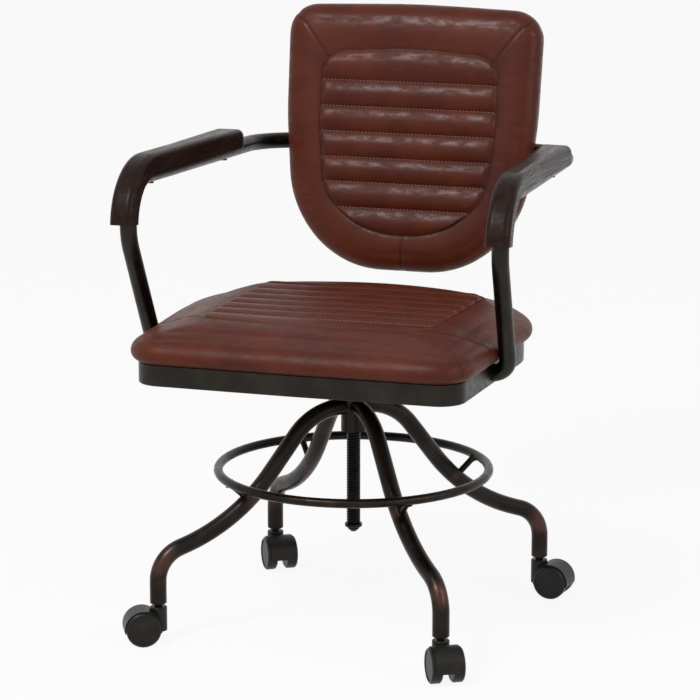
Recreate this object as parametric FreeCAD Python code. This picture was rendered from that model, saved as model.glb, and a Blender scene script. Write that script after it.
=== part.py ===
import FreeCAD, Part
import math
import os

# Office chair: a leather seat and back on a bent-tube arm frame, carried by a screw spindle on four bent
# legs with a foot ring and hooded twin-wheel casters. Millimetres, +Z up from the floor, the chair's front
# towards -Y, left and right as they are seen from the front, right towards +X.

# Whole chair
LET_IN = 1.0                    # how far a shank runs into its head before the two are fused
SPINDLE_AHEAD = 24.53           # the spindle stands this far in front of the middle of the chair's depth

# Base: legs, hub and foot ring
BASE_TURN = -4.2                # the base stands turned by this much from square
LEG_TUBE = 24.0
LEG_WALL = 1.5
LEG_FOOT_RADIUS = 302.5         # from the spindle's axis to a foot's axis
LEG_FOOT_Z = 59.0               # open lower end of a leg
LEG_HUB_Z = 319.0               # where a leg leaves the hub, level
LEG_SHOULDER_OUT = 0.2075       # share of LEG_FOOT_RADIUS out to the crossing of the level and the steep run
LEG_SWEEP_OUT = 0.5969          # share of it out to the crossing of the steep and the outer run
LEG_SWEEP_Z = 165.4             # height of that second crossing
LEG_TURN_Z = 125.8              # where the outer run would meet the foot's axis
LEG_SHOULDER_CURVE = 0.2975     # radii of the two upper bends, as shares of LEG_FOOT_RADIUS
LEG_SWEEP_CURVE = 0.8926
LEG_FOOT_BEND = 48.0
LEG_END_BREAK = 0.5             # bevel round a leg's open end
HUB_TUBE = 36.0
HUB_BOTTOM_Z = 282.0
HUB_TOP_Z = 340.0
NUT_OUTER = 28.0
RING_RADIUS = 195.7
RING_Z = 225.3
RING_ROD = 13.0
STUB_ROD = 9.0
STUB_RUN = 32.7                 # from the ring's middle line in to where a stub leaves its leg

# Lift screw
SPINDLE = 20.0
SCREW_CLEARANCE = 0.06          # on the radius, between spindle and nut
SPINDLE_END_Z = 144.0
STUD = 13.0                     # reduced end that carries the stop washer
STOP_WASHER = 25.0
STOP_THICK = 5.5
STOP_BEVEL = 1.0
STOP_PLAY = 0.1                 # on the radius and at each face of the stop washer
END_SCREW_HEAD = 17.0
END_SCREW_HEAD_HIGH = 7.0
END_SCREW_TAPER = 4.2           # height of the head's tapered part
END_SCREW_FLAT = 8.0            # flat left at its bottom
END_SCREW_SHANK = 8.0
END_SCREW_LONG = 25.0
SLEEVE = 34.0
PLATE = 130.0
PLATE_THICK = 4.0
PLATE_CORNER = 12.0
PLATE_BOLT_PITCH = 96.0
BOLT = 8.0
BOLT_HEAD = 13.0
HEXAGON = 6                     # sides of a bolt head
BOLT_HEAD_HIGH = 5.3
BOLT_SHORT = 3.0                # the plate bolts end this far under the board's top
BOLT_FREE = 0.05                # round every bolt, stem and plug, on the radius

# Seat
BAND_Z = 395.0
BAND_HIGH = 30.0
BAND_THICK = 5.0
BAND_BREAK = 0.8                # bevel of the band's outer edges
BAR_WIDE = 30.0
BAR_HIGH = 14.0
BAR_WALL = 1.5                  # the cross bars are flat oblong tubes
BOARD_THICK = 12.0
SEAT_FRONT_Y = -282.0
SEAT_CORNER = (233.0, -278.5)
SEAT_SIDE = (247.0, 47.0)
SEAT_BACK_CORNER = (168.0, 155.0)
SEAT_REAR_Y = 207.5
SEAT_FRONT_ROUND = 900.0
SEAT_CORNER_ROUND = 38.0
SEAT_SIDE_ROUND = 112.0
SEAT_BACK_ROUND = 194.0
SEAT_REAR_ROUND = 260.0
CUSHION_BULGE = 12.0            # the cushion stands this far out over the band
CUSHION_TUCK = 3.0              # its foot stands this far inside the band's outer face
CUSHION_FREE = 0.4              # round the arm frame's posts, which press into the cushion's side
CUSHION_WALL = 35.0             # height of the cushion's rolled side
CUSHION_ROLL = 22.0             # how far the side rolls in over its top
SIDE_MIDDLE = 0.4               # a padded side is widest at this share of its height
SIDE_STEPS = 4                  # levels of a padded side, each below and above its widest
CROWN_RISE = 5.5
CROWN_RUN = 24.0
CROWN_PARTS = (0.5, 1.0)        # shares of the crown's run that get a level
PANEL_FRONT_Y = -180.0
PANEL_CORNER = (165.0, -162.0)
PANEL_REAR = (170.0, 90.0)
PANEL_REAR_Y = 100.0
PANEL_ROUND = 30.0
PANEL_EDGE_ROUND = 800.0
SEAT_SEAMS = (-124.4, -89.8, -55.2, -20.6, 14.0, 48.6)
CHANNEL_RISE = 5.0
CHANNEL_ROOT = 5.0              # how far the rolls reach down into the cushion

# Back
BACK_TILT = 9.6                 # degrees from upright
BACK_FOOT = (237.0, 524.5)      # y and z where the channelled panel's lower edge meets the front plane
BACK_FRONT_THICK = 36.0
BACK_BOARD_THICK = 12.0
BACK_TOP = 347.0                # along the back, from the panel's lower edge
BACK_TOP_CORNER = (196.6, 341.0)
BACK_SIDE = (194.1, 175.0)
BACK_LOW_SIDE = (180.7, 39.5)
BACK_LOW = (102.5, -53.0)
BACK_TOP_ROUND = 1500.0
BACK_CORNER_ROUND = 44.0
BACK_SIDE_ROUND = 600.0
BACK_LOW_SIDE_ROUND = 160.0
BACK_LOW_ROUND = 146.0
BACK_EDGE_INSET = 16.0          # how far the front edge rolls in
BACK_TUCK = 2.0                 # and how far the rear edge stands in
BACK_BOARD_INSET = 3.0
BACK_BOARD_ROUND = 5.0
INLAY_TOP = 277.5
INLAY_TOP_CORNER = (135.0, 267.0)
INLAY_SIDE = (136.8, 165.0)
INLAY_LOW_SIDE = (126.0, 61.0)
INLAY_LOW = (65.0, 0.0)
INLAY_TOP_ROUND = 700.0
INLAY_CORNER_ROUND = 20.0
INLAY_SIDE_ROUND = 300.0
INLAY_LOW_SIDE_ROUND = 76.0
INLAY_LOW_ROUND = 140.0
BACK_STITCHES = (39.0, 77.0, 114.0, 152.0, 190.0, 229.0)
BACK_ROLLS_PAST = (1.0, 2.0)     # how far the outer rolls run past the inlay's low and top edges
BACK_RISE = 7.0

# Arm frame and armrests
ARM_TUBE = 24.0
ARM_WALL = 1.5
RAIL_FRONT = (271.0, -233.4, 666.0)     # where the rail's and the post's axes would cross
RAIL_REAR = (242.2, 326.0, 647.5)       # where the rail's axis would cross the rear tube's
RAIL_REAR_BEND = 82.0
ARM_FRONT_BEND = 66.0
POST_LOW_BEND = 26.0
POST_FOOT = (260.0, -113.0, 408.0)      # where the post's axis would cross the foot's
WOOD_SEAT = 4.5                 # underside of the wood above the rail's axis
WOOD_THICK = 26.5
WOOD_FRONT_HALF = 17.5
WOOD_REAR_HALF = 24.5
WOOD_SPREAD = 215.0             # from the crossing of the axes to where the wood begins to widen
WOOD_SPREAD_ROUND = 400.0
WOOD_LONG = 428.0               # from the crossing of the axes to the rounded rear end
WOOD_NOSE = 20.0                # radius by which the top runs down at the rear end
WOOD_TURN = 86.0                # degrees of the front bend that the wood follows
WOOD_ROUND = 10.0
TUBE_FREE = 0.05
ARM_SCREW = 5.0
ARM_SCREW_HEAD = 9.5
ARM_SCREW_HEAD_HIGH = 1.5       # below the rail
ARM_SCREW_BITE = 15.0           # above the wood's underside
ARM_SCREW_PLACES = (120.0, 390.0)
BACK_BOLT_X = 75.0
BACK_BOLT_END = -41.0           # depth of the bolts' tips behind the back's front plane
BACK_BOLT_HEAD = 14.0
BACK_BOLT_HEAD_HIGH = 4.0
SADDLE_SIZE = 34.0
SADDLE_HUG = 2.4                # how far the saddle reaches round the tube
END_NUT_THICK = 5.0
ARM_BOLT = 6.0
ARM_BOLT_HEAD = 9.5
ARM_BOLT_HEAD_HIGH = 3.5

# Casters
CASTER_TRAIL = 23.3             # from the swivel's axis to the wheels' axis
WHEEL = 50.0
WHEEL_WIDE = 15.5
WHEEL_APART = 16.0              # between the two wheels' inner faces
WHEEL_BEVEL = 2.0
HOOD_OUTER = 53.6
HOOD_WALL = 1.3
HOOD_WIDE = 38.0
HOOD_LOW_Z = 19.0
HOOD_WEB = 15.0
CASTER_TOP_Z = 54.0
BOSS = 24.5
BOSS_BEVEL = 1.2
STEM = 11.0
STEM_LONG = 52.0
AXLE = 8.0
AXLE_FREE = 0.5                 # at each end of the axle in its blind bore
WHEEL_FACE = 3.5                # left between the bore's end and the wheel's outer face
RIM_WIDE = 2.5
RIM_STEP = 0.8
RUNNING = 0.06                  # wheel on axle and stem in socket, on the radius
SOCKET_LONG = 28.0
SOCKET_END = 2.0                # left closed above the stem
LEGS = {
    "front_left": (225.0, -153.0),
    "front_right": (315.0, -59.4),
    "rear_right": (45.0, -5.5),
    "rear_left": (135.0, -56.8),
}                               # direction of the leg before BASE_TURN, and the way its caster trails

Z_AXIS = FreeCAD.Vector(0, 0, 1)
ORIGIN = FreeCAD.Vector(0, 0, 0)
SIDES = {"left": -1, "right": 1}


def at(x, y, z=0.0):
    return FreeCAD.Vector(x, y, z)


def rod(start, end, diameter):
    """A straight round bar between two points."""
    return Part.makeCylinder(diameter / 2, (end - start).Length, start, end - start)


def rounded_path(points, radii):
    """A wire of straight runs joined by tangent arcs, one radius for each inner point."""
    edges = []
    start = points[0]
    for i, radius in enumerate(radii, start=1):
        back = (points[i - 1] - points[i]).normalize()
        ahead = (points[i + 1] - points[i]).normalize()
        half = back.getAngle(ahead) / 2
        reach = radius / math.tan(half)
        entry = points[i] + back * reach
        leave = points[i] + ahead * reach
        toward = (back + ahead).normalize()
        middle = points[i] + toward * (radius / math.sin(half) - radius)
        if (entry - start).Length > 1e-6:
            edges.append(Part.LineSegment(start, entry).toShape())
        edges.append(Part.Arc(entry, middle, leave).toShape())
        start = leave
    if (points[-1] - start).Length > 1e-6:
        edges.append(Part.LineSegment(start, points[-1]).toShape())
    return Part.Wire(edges)


def swept(path, diameter):
    """A round bar along a path of lines and arcs."""
    first = path.OrderedEdges[0]
    ahead = first.tangentAt(first.FirstParameter)
    ring = Part.Wire(Part.makeCircle(diameter / 2, path.OrderedVertexes[0].Point, ahead))
    return path.makePipeShell([ring], True, False)


def bent_tube(path, diameter, wall):
    return swept(path, diameter).cut(swept(path, diameter - 2 * wall))


def loop(half, offset=0.0):
    """The arcs of a closed outline, the same left and right, grown outwards by offset.

    half lists (x, y, round) along the +X side. A point on the middle line, x = 0, isn't repeated. Each arc
    is its entry, middle and leaving point, and straight runs join one arc to the next.
    """
    mirrored = [(-x, y, r) for x, y, r in reversed(half) if x]
    corners = list(half) + mirrored
    points = [at(x, y) for x, y, r in corners]
    count = len(points)
    area = sum(points[i - 1].x * points[i].y - points[i].x * points[i - 1].y for i in range(count))
    out = offset if area > 0 else -offset
    runs = []
    for i in range(count):
        along = (points[(i + 1) % count] - points[i]).normalize()
        runs.append((points[i] + at(along.y, -along.x) * out, along))
    grown = []
    for i in range(count):
        start, before = runs[i - 1]
        after_start, after = runs[i]
        gap = after_start - start
        cross = before.x * after.y - before.y * after.x
        grown.append(start + before * ((gap.x * after.y - gap.y * after.x) / cross))
    arcs = []
    for i in range(count):
        back = (grown[i - 1] - grown[i]).normalize()
        ahead = (grown[(i + 1) % count] - grown[i]).normalize()
        half_angle = back.getAngle(ahead) / 2
        radius = corners[i][2] + offset
        reach = radius / math.tan(half_angle)
        middle = grown[i] + (back + ahead).normalize() * (radius / math.sin(half_angle) - radius)
        arcs.append((grown[i] + back * reach, middle, grown[i] + ahead * reach))
    return arcs


def outline(half, offset=0.0, z=0.0):
    """The closed wire of a loop, laid flat at height z."""
    arcs = loop(half, offset)
    up = at(0, 0, z)
    edges = []
    for i, (entry, middle, leave) in enumerate(arcs):
        edges.append(Part.Arc(entry + up, middle + up, leave + up).toShape())
        after = arcs[(i + 1) % len(arcs)][0]
        edges.append(Part.LineSegment(leave + up, after + up).toShape())
    return Part.Wire(edges)


def slab(half, offset, low, high):
    return Part.Face(outline(half, offset, low)).extrude(at(0, 0, high - low))


def padded(half, levels):
    """A soft block: a ruled loft through the outline at (height, offset) levels."""
    return Part.makeLoft([outline(half, grow, z) for z, grow in levels], True, True)


def rounded_side(low, high, tuck, bulge, roll):
    """(height, offset) levels of a padded side, from its tucked foot out to the bulge and in by roll.

    The section is a quarter of an ellipse below the bulge and another above it.
    """
    middle = low + SIDE_MIDDLE * (high - low)
    levels = []
    for i in range(SIDE_STEPS + 1):
        turn = math.radians(90 * i / SIDE_STEPS)
        levels.append((low + (middle - low) * (1 - math.cos(turn)), tuck + (bulge - tuck) * math.sin(turn)))
    for i in range(1, SIDE_STEPS + 1):
        turn = math.radians(90 * i / SIDE_STEPS)
        levels.append((middle + (high - middle) * math.sin(turn), bulge - roll * (1 - math.cos(turn))))
    return levels


def channelled(seams, base, crest, deep, reach):
    """Rolls of padding side by side along X: arcs between seam lines, over a flat floor.

    seams are places along Y; base and crest are the heights of the seams and of the rolls.
    """
    edges = []
    for first, second in zip(seams, seams[1:]):
        low = at(-reach, first, base)
        high = at(-reach, second, base)
        top = at(-reach, (first + second) / 2, crest)
        edges.append(Part.Arc(low, top, high).toShape())
    front = at(-reach, seams[0], base)
    rear = at(-reach, seams[-1], base)
    edges.append(Part.LineSegment(rear, at(-reach, seams[-1], deep)).toShape())
    edges.append(Part.LineSegment(edges[-1].Vertexes[-1].Point, at(-reach, seams[0], deep)).toShape())
    edges.append(Part.LineSegment(edges[-1].Vertexes[-1].Point, front).toShape())
    return Part.Face(Part.Wire(edges)).extrude(at(2 * reach, 0, 0))


# Legs. One profile in the plane of radius and height, turned to each side.
leg_points = [
    at(HUB_TUBE / 4, 0, LEG_HUB_Z),
    at(LEG_SHOULDER_OUT * LEG_FOOT_RADIUS, 0, LEG_HUB_Z),
    at(LEG_SWEEP_OUT * LEG_FOOT_RADIUS, 0, LEG_SWEEP_Z),
    at(LEG_FOOT_RADIUS, 0, LEG_TURN_Z),
    at(LEG_FOOT_RADIUS, 0, LEG_FOOT_Z),
]
leg_bends = [LEG_SHOULDER_CURVE * LEG_FOOT_RADIUS, LEG_SWEEP_CURVE * LEG_FOOT_RADIUS, LEG_FOOT_BEND]
leg_path = rounded_path(leg_points, leg_bends)
hub_room = rod(at(0, 0, HUB_BOTTOM_Z - LEG_TUBE), at(0, 0, HUB_TOP_Z + LEG_TUBE), HUB_TUBE)
leg = bent_tube(leg_path, LEG_TUBE, LEG_WALL).cut(hub_room)
foot_edge = [e for e in leg.Edges if e.Closed and abs(e.CenterOfMass.z - LEG_FOOT_Z) < LEG_END_BREAK
             and e.Length > math.pi * (LEG_TUBE - LEG_WALL)]
leg = leg.makeChamfer(LEG_END_BREAK, foot_edge)
leg_solid = swept(leg_path, LEG_TUBE)

# Foot ring and its stubs, each square to its leg.
ring = Part.makeTorus(RING_RADIUS, RING_ROD / 2, at(0, 0, RING_Z))
stub_out = RING_RADIUS - STUB_RUN
stub_line = Part.LineSegment(at(stub_out, 0, LEG_FOOT_Z), at(stub_out, 0, LEG_HUB_Z)).toShape()
stub_leg = leg_path.distToShape(stub_line)[1][0][0]
stub = rod(stub_leg, at(RING_RADIUS, 0, RING_Z), STUB_ROD).cut(leg_solid).cut(ring)

# Hub: a tube with the lift nut pressed in.
hub_tube = rod(at(0, 0, HUB_BOTTOM_Z), at(0, 0, HUB_TOP_Z), HUB_TUBE)
hub_tube = hub_tube.cut(rod(at(0, 0, HUB_BOTTOM_Z), at(0, 0, HUB_TOP_Z), NUT_OUTER))
lift_nut = rod(at(0, 0, HUB_BOTTOM_Z), at(0, 0, HUB_TOP_Z), NUT_OUTER)
nut_bore = SPINDLE + 2 * SCREW_CLEARANCE
lift_nut = lift_nut.cut(rod(at(0, 0, HUB_BOTTOM_Z), at(0, 0, HUB_TOP_Z), nut_bore))

# Spindle, stop washer and end screw.
band_top = BAND_Z + BAND_HIGH
bar_low = band_top - BOARD_THICK - BAR_HIGH
plate_low = bar_low - PLATE_THICK
stop_low = SPINDLE_END_Z - STOP_THICK - STOP_PLAY
stud_low = stop_low - STOP_PLAY
spindle = rod(at(0, 0, SPINDLE_END_Z), at(0, 0, bar_low), SPINDLE)
spindle = spindle.fuse(rod(at(0, 0, stud_low), at(0, 0, SPINDLE_END_Z + LET_IN), STUD)).removeSplitter()
end_screw_hole = rod(at(0, 0, stud_low), at(0, 0, stud_low + END_SCREW_LONG), END_SCREW_SHANK + 2 * BOLT_FREE)
spindle = spindle.cut(end_screw_hole)
stop_washer = rod(at(0, 0, stop_low), at(0, 0, stop_low + STOP_THICK), STOP_WASHER)
stop_washer = stop_washer.makeChamfer(STOP_BEVEL, [e for e in stop_washer.Edges if e.Closed])
stop_washer = stop_washer.cut(rod(at(0, 0, stop_low), at(0, 0, SPINDLE_END_Z), STUD + 2 * STOP_PLAY))
head_low = stud_low - END_SCREW_HEAD_HIGH
taper = Part.makeCone(END_SCREW_FLAT / 2, END_SCREW_HEAD / 2, END_SCREW_TAPER, at(0, 0, head_low))
end_screw = taper.fuse(rod(at(0, 0, head_low + END_SCREW_TAPER), at(0, 0, stud_low), END_SCREW_HEAD))
end_screw_top = at(0, 0, stud_low + END_SCREW_LONG - LET_IN)
end_screw = end_screw.fuse(rod(at(0, 0, stud_low - LET_IN), end_screw_top, END_SCREW_SHANK)).removeSplitter()

# Mounting plate on its sleeve, bolted up through the cross bars into the board.
sleeve = rod(at(0, 0, HUB_TOP_Z), at(0, 0, plate_low), SLEEVE)
sleeve = sleeve.cut(rod(at(0, 0, HUB_TOP_Z), at(0, 0, plate_low), SPINDLE))
plate = Part.makeBox(PLATE, PLATE, PLATE_THICK, at(-PLATE / 2, -PLATE / 2, plate_low))
plate = plate.makeFillet(PLATE_CORNER, [e for e in plate.Edges if abs(e.tangentAt(0).z) > 0.9])
plate = plate.cut(rod(at(0, 0, plate_low), at(0, 0, bar_low), SPINDLE))
bolt_half = PLATE_BOLT_PITCH / 2
bolt_places = [(x, y) for x in (-bolt_half, bolt_half) for y in (-bolt_half, bolt_half)]


def hexagon(across_flats, high, centre):
    points = []
    radius = across_flats / 2 / math.cos(math.pi / HEXAGON)
    for i in range(HEXAGON + 1):
        angle = 2 * math.pi * i / HEXAGON
        points.append(centre + at(radius * math.cos(angle), radius * math.sin(angle)))
    return Part.Face(Part.makePolygon(points)).extrude(at(0, 0, high))


bolt_top = band_top - BOLT_SHORT
plate_bolts = []
bolt_holes = []
for x, y in bolt_places:
    head = hexagon(BOLT_HEAD, BOLT_HEAD_HIGH, at(x, y, plate_low - BOLT_HEAD_HIGH))
    shank = rod(at(x, y, plate_low - LET_IN), at(x, y, bolt_top), BOLT)
    plate_bolts.append(head.fuse(shank).removeSplitter())
    bolt_holes.append(rod(at(x, y, plate_low), at(x, y, bolt_top), BOLT + 2 * BOLT_FREE))
bolt_room = Part.makeCompound(bolt_holes)
plate = plate.cut(bolt_room)

# Seat band, cross bars and board.
seat_half = [
    (0.0, SEAT_FRONT_Y, SEAT_FRONT_ROUND),
    (SEAT_CORNER[0], SEAT_CORNER[1], SEAT_CORNER_ROUND),
    (SEAT_SIDE[0], SEAT_SIDE[1], SEAT_SIDE_ROUND),
    (SEAT_BACK_CORNER[0], SEAT_BACK_CORNER[1], SEAT_BACK_ROUND),
    (0.0, SEAT_REAR_Y, SEAT_REAR_ROUND),
]
band_levels = [
    (BAND_Z, -BAND_BREAK),
    (BAND_Z + BAND_BREAK, 0.0),
    (band_top - BAND_BREAK, 0.0),
    (band_top, -BAND_BREAK),
]
band_room = slab(seat_half, -BAND_THICK, BAND_Z, band_top)
seat_band = padded(seat_half, band_levels).cut(band_room)
cross_bars = {}
for name, side in (("front", -1), ("rear", 1)):
    middle = side * PLATE_BOLT_PITCH / 2
    corner = at(-SEAT_SIDE[0], middle - BAR_WIDE / 2, bar_low)
    bar = Part.makeBox(2 * SEAT_SIDE[0], BAR_WIDE, BAR_HIGH, corner)
    bore = Part.makeBox(2 * SEAT_SIDE[0], BAR_WIDE - 2 * BAR_WALL, BAR_HIGH - 2 * BAR_WALL,
                        corner + at(0, BAR_WALL, BAR_WALL))
    cross_bars[name] = bar.cut(bore).common(band_room).cut(bolt_room)
board_low = band_top - BOARD_THICK
seat_board = slab(seat_half, -BAND_THICK, board_low, band_top).cut(bolt_room)

# Seat cushion: a rolled side, a low crown, then the channelled panel.
crown_low = band_top + CUSHION_WALL
crown_top = crown_low + CROWN_RISE
side_levels = rounded_side(band_top, crown_low, -CUSHION_TUCK, CUSHION_BULGE, CUSHION_ROLL)
crown_edge = CUSHION_BULGE - CUSHION_ROLL
crown_levels = []
for part in CROWN_PARTS:
    crown_levels.append((crown_low + CROWN_RISE * part * (2 - part), crown_edge - CROWN_RUN * part))
seat_cushion = padded(seat_half, side_levels + crown_levels)
panel_half = [
    (0.0, PANEL_FRONT_Y, PANEL_EDGE_ROUND),
    (PANEL_CORNER[0], PANEL_CORNER[1], PANEL_ROUND),
    (PANEL_REAR[0], PANEL_REAR[1], PANEL_ROUND),
    (0.0, PANEL_REAR_Y, PANEL_EDGE_ROUND),
]
seat_seams = [PANEL_FRONT_Y, *SEAT_SEAMS, PANEL_REAR_Y]
roll_root = crown_low - CHANNEL_ROOT
rolls = channelled(seat_seams, crown_top, crown_top + CHANNEL_RISE, roll_root, 2 * PANEL_REAR[0])
rolls = rolls.common(slab(panel_half, 0.0, roll_root - CHANNEL_ROOT, crown_top + 2 * CHANNEL_RISE))
seat_cushion = seat_cushion.fuse(rolls).removeSplitter()


def on_back(shape):
    """From the back's own plane (x across, y up the back, z towards the sitter) to its place on the chair."""
    placed = shape.copy()
    placed.rotate(ORIGIN, at(1, 0, 0), 90 - BACK_TILT)
    placed.translate(at(0, BACK_FOOT[0], BACK_FOOT[1]))
    return placed


# Back: a padded front with its channelled inlay, and the covered board behind it.
back_half = [
    (0.0, BACK_TOP, BACK_TOP_ROUND),
    (BACK_TOP_CORNER[0], BACK_TOP_CORNER[1], BACK_CORNER_ROUND),
    (BACK_SIDE[0], BACK_SIDE[1], BACK_SIDE_ROUND),
    (BACK_LOW_SIDE[0], BACK_LOW_SIDE[1], BACK_LOW_SIDE_ROUND),
    (BACK_LOW[0], BACK_LOW[1], BACK_LOW_ROUND),
]
back_cushion = padded(back_half, rounded_side(-BACK_FRONT_THICK, 0.0, -BACK_TUCK, 0.0, BACK_EDGE_INSET))
inlay_half = [
    (0.0, INLAY_TOP, INLAY_TOP_ROUND),
    (INLAY_TOP_CORNER[0], INLAY_TOP_CORNER[1], INLAY_CORNER_ROUND),
    (INLAY_SIDE[0], INLAY_SIDE[1], INLAY_SIDE_ROUND),
    (INLAY_LOW_SIDE[0], INLAY_LOW_SIDE[1], INLAY_LOW_SIDE_ROUND),
    (INLAY_LOW[0], INLAY_LOW[1], INLAY_LOW_ROUND),
]
back_seams = [-BACK_ROLLS_PAST[0], *BACK_STITCHES, INLAY_TOP + BACK_ROLLS_PAST[1]]
back_rolls = channelled(back_seams, 0.0, BACK_RISE, -0.2 * BACK_FRONT_THICK, 1.2 * INLAY_SIDE[0])
back_rolls = back_rolls.common(slab(inlay_half, 0.0, -0.3 * BACK_FRONT_THICK, 2 * BACK_RISE))
back_cushion = back_cushion.fuse(back_rolls).removeSplitter()
board_front = -BACK_FRONT_THICK
board_rear = board_front - BACK_BOARD_THICK
board_levels = [
    (board_front, -BACK_BOARD_INSET),
    (board_rear + BACK_BOARD_ROUND, -BACK_BOARD_INSET),
    (board_rear, -BACK_BOARD_INSET - BACK_BOARD_ROUND),
]
back_board = padded(back_half, board_levels)

# Arm frame: one bent tube from the seat's right side, round behind the back, to its left side.
rail_front = at(*RAIL_FRONT)
rail_rear = at(*RAIL_REAR)
post_foot = at(*POST_FOOT)
inside_band = at(SEAT_CORNER[0] - 2 * BAND_THICK, post_foot.y, post_foot.z)


def mirrored_point(point):
    return at(-point.x, point.y, point.z)


right_points = [rail_rear, rail_front, post_foot, inside_band]
arm_points = [mirrored_point(p) for p in reversed(right_points)] + right_points
arm_bends = [POST_LOW_BEND, ARM_FRONT_BEND, RAIL_REAR_BEND]
arm_path = rounded_path(arm_points, arm_bends + arm_bends[::-1])
seat_body_room = slab(seat_half, 0.0, BAND_Z - LEG_TUBE, band_top + ARM_TUBE)
arm_frame = bent_tube(arm_path, ARM_TUBE, ARM_WALL).cut(seat_body_room)
arm_solid = swept(arm_path, ARM_TUBE + 2 * TUBE_FREE)
seat_cushion = seat_cushion.cut(swept(arm_path, ARM_TUBE + 2 * CUSHION_FREE))

# Nut plates that fill the tube's two ends, and the bolts that hold them to the band.
near_band = slab(seat_half, END_NUT_THICK, BAND_Z - LEG_TUBE, band_top + ARM_TUBE)
nut_plates = swept(arm_path, ARM_TUBE - 2 * ARM_WALL).common(near_band).cut(seat_body_room)
foot_face = seat_band.common(Part.makeBox(4 * SEAT_SIDE[0], 1.0, 1.0, at(0, post_foot.y, post_foot.z)))
band_face_x = foot_face.BoundBox.XMax
arm_bolts = []
arm_bolt_holes = []
for side in SIDES.values():
    outward = at(side, 0, 0)
    face = at(side * band_face_x, post_foot.y, post_foot.z)
    head_low = face - outward * (BAND_THICK + ARM_BOLT_HEAD_HIGH)
    bolt_end = face + outward * END_NUT_THICK
    head = rod(head_low, face - outward * (BAND_THICK / 2), ARM_BOLT_HEAD).cut(seat_band)
    arm_bolts.append(head.fuse(rod(head_low, bolt_end, ARM_BOLT)).removeSplitter())
    arm_bolt_holes.append(rod(head_low, bolt_end + outward * BAND_THICK, ARM_BOLT + 2 * BOLT_FREE))
bolt_clearance = Part.makeCompound(arm_bolt_holes)
seat_band = seat_band.cut(bolt_clearance)
end_nuts = nut_plates.cut(bolt_clearance)

# Armrests: sawn to the rail's side profile and to a plan that widens to a round end, then rounded over.
along = (rail_rear - rail_front).normalize()
down_post = (post_foot - rail_front).normalize()
upward = (along * along.dot(down_post) - down_post).normalize()
outward = along.cross(upward)
bend_start = ARM_FRONT_BEND / math.tan(along.getAngle(down_post) / 2)


def on_bend(distance, degrees):
    """A point at one distance outside the tube's axis, so far round the front bend from the rail."""
    turn = math.radians(degrees)
    radius = ARM_FRONT_BEND + distance
    return at(bend_start - radius * math.sin(turn), radius * math.cos(turn) - ARM_FRONT_BEND)


def beside_tube(distance, rear_end):
    """The lines at one distance outside the tube's axis, from near the rear to the lower front end."""
    entry = at(bend_start, distance)
    level = Part.LineSegment(at(rear_end, distance), entry).toShape()
    curve = Part.Arc(entry, on_bend(distance, WOOD_TURN / 2), on_bend(distance, WOOD_TURN)).toShape()
    return [level, curve]


wood_top = WOOD_SEAT + WOOD_THICK
nose_turn = math.sqrt(2) / 2 * WOOD_NOSE
nose = Part.Arc(at(WOOD_LONG, wood_top - WOOD_NOSE),
                at(WOOD_LONG - WOOD_NOSE + nose_turn, wood_top - WOOD_NOSE + nose_turn),
                at(WOOD_LONG - WOOD_NOSE, wood_top)).toShape()
top_line = Part.Wire([nose, *beside_tube(wood_top, WOOD_LONG - WOOD_NOSE)])
under_line = beside_tube(WOOD_SEAT, WOOD_LONG)
front_end = Part.LineSegment(on_bend(wood_top, WOOD_TURN), on_bend(WOOD_SEAT, WOOD_TURN)).toShape()
rear_end = Part.LineSegment(at(WOOD_LONG, WOOD_SEAT), at(WOOD_LONG, wood_top - WOOD_NOSE)).toShape()
profile = Part.Wire([*top_line.OrderedEdges, front_end, *reversed(under_line), rear_end])
profile_solid = Part.Face(profile).extrude(at(0, 0, 4 * WOOD_REAR_HALF))
profile_solid.translate(at(0, 0, -2 * WOOD_REAR_HALF))
round_start = WOOD_LONG - WOOD_REAR_HALF
plan_front = -ARM_FRONT_BEND - WOOD_THICK
one_side = rounded_path([at(plan_front, 0, WOOD_FRONT_HALF), at(WOOD_SPREAD, 0, WOOD_FRONT_HALF),
                         at(round_start, 0, WOOD_REAR_HALF)], [WOOD_SPREAD_ROUND])
other_side = one_side.mirror(ORIGIN, Z_AXIS)
plan_end = Part.Arc(at(round_start, 0, WOOD_REAR_HALF), at(WOOD_LONG, 0, 0),
                    at(round_start, 0, -WOOD_REAR_HALF))
plan_start = Part.LineSegment(at(plan_front, 0, -WOOD_FRONT_HALF), at(plan_front, 0, WOOD_FRONT_HALF))
plan_edges = [*one_side.Edges, *other_side.Edges, plan_end.toShape(), plan_start.toShape()]
plan = Part.Face(Part.Wire(Part.__sortEdges__(plan_edges))).extrude(at(0, 2 * ARM_FRONT_BEND + WOOD_THICK, 0))
plan.translate(at(0, -ARM_FRONT_BEND, 0))
armrest = profile_solid.common(plan)
top_surface = top_line.extrude(at(0, 0, 4 * WOOD_REAR_HALF))
top_surface.translate(at(0, 0, -2 * WOOD_REAR_HALF))


def on_rim(edge):
    """True for an edge of the wood's top that isn't a joint between two runs of the top itself."""
    middle = edge.valueAt((edge.FirstParameter + edge.LastParameter) / 2)
    touches = top_surface.distToShape(Part.Vertex(middle))[0] < 1e-4
    crossing = abs(edge.tangentAt(edge.FirstParameter).z) > 0.99 and edge.Length > WOOD_FRONT_HALF
    return touches and not (crossing and isinstance(edge.Curve, Part.Line))


armrest = armrest.makeFillet(WOOD_ROUND, [e for e in armrest.Edges if on_rim(e)])
to_rail = FreeCAD.Matrix(along.x, upward.x, outward.x, rail_front.x,
                         along.y, upward.y, outward.y, rail_front.y,
                         along.z, upward.z, outward.z, rail_front.z,
                         0, 0, 0, 1)
armrest.transformShape(to_rail)
armrest = armrest.cut(arm_solid)

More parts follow.
